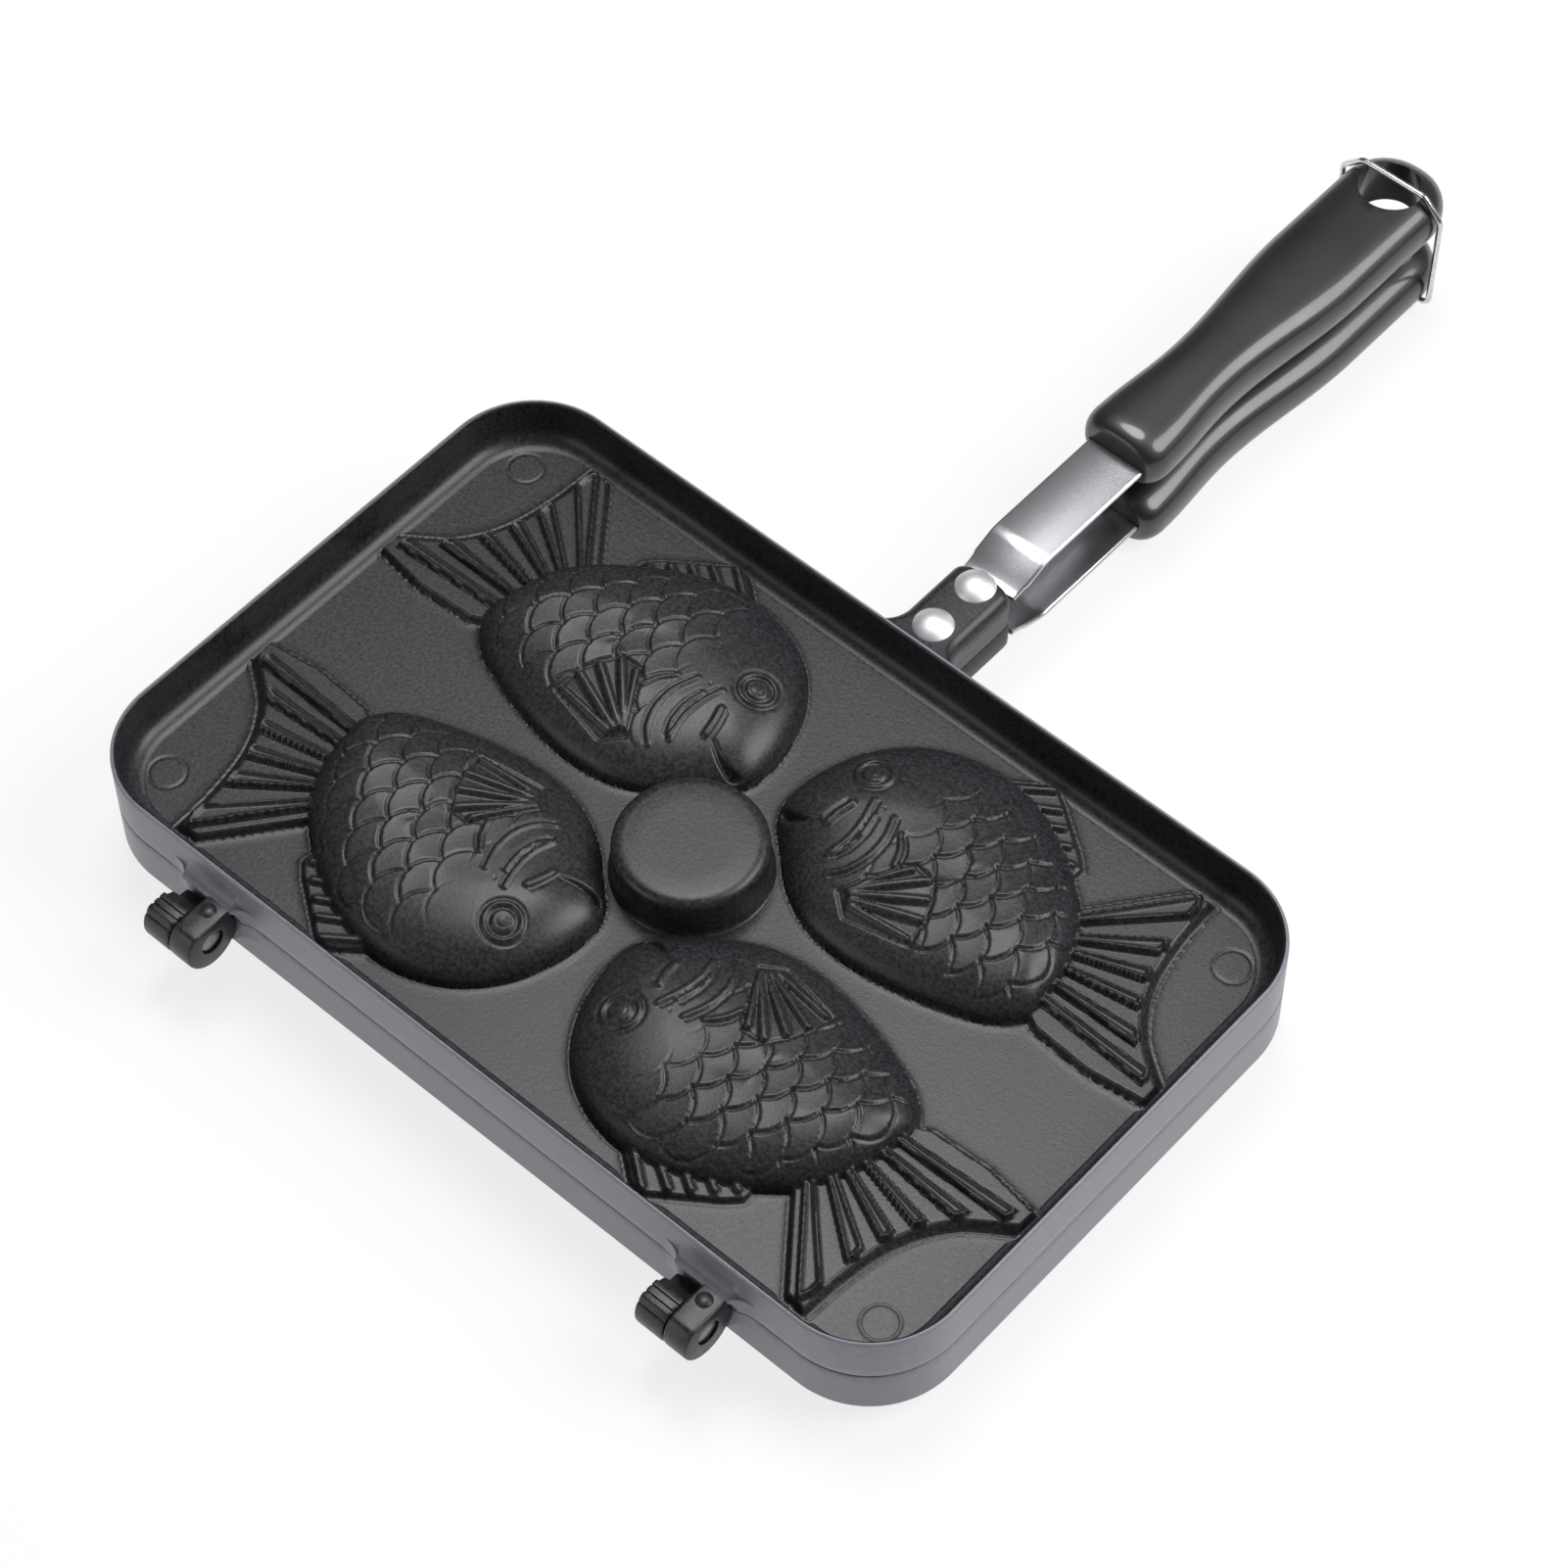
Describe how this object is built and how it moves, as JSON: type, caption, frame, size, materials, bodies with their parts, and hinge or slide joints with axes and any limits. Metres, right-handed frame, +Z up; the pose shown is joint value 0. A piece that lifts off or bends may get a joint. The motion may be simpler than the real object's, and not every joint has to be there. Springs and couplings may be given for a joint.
{
  "type": "stovetop fish cake press",
  "caption": "Hinged stovetop press of cast pans with fish moulds and a round centre mould, strap handles with black grips and a wire bail.",
  "frame": {"origin": "centre of the flat underside of the lower pan, where it stands on a hob", "axes": "+X along the pans' long side, +Y from the hinges towards the grips, +Z up out of the closed lid"},
  "size_m": [0.25, 0.3701, 0.0401],
  "materials": {
    "cast_pan": "die cast aluminium with a dark grey speckled non-stick coat",
    "steel_strap": "bright rolled stainless steel",
    "rivet": "bright domed heads",
    "hinge_pin": "turned steel",
    "grip": "glossy black phenolic moulding",
    "screw": "zinc plated steel",
    "bail_wire": "bright spring wire"
  },
  "bodies": {
    "base": {"lower_pan": "cast_pan", "left_hinge_pin": "hinge_pin", "right_hinge_pin": "hinge_pin", "lower_strap": "steel_strap", "lower_rivet_near": "rivet", "lower_rivet_far": "rivet", "lower_grip": "grip", "lower_grip_screw": "screw"},
    "lid": {"upper_pan": "cast_pan", "upper_strap": "steel_strap", "upper_rivet_near": "rivet", "upper_rivet_far": "rivet", "upper_grip": "grip", "upper_grip_screw": "screw"},
    "bail": {"wire_bail": "bail_wire"}
  },
  "joints": [
    {"name": "lid_hinge", "type": "hinge", "parent": "base", "child": "lid", "pos_m": [0, -0.0866, 0.0139], "axis": [1, 0, 0], "range_deg": [0, 180]},
    {"name": "bail_pivot", "type": "hinge", "parent": "base", "child": "bail", "pos_m": [0, 0.2632, -0.002], "axis": [-1, 0, 0], "range_deg": [0, 180]}
  ],
  "couplings": [
    {"joint": "bail_pivot", "follows": "lid_hinge", "ratio": 1}
  ]
}
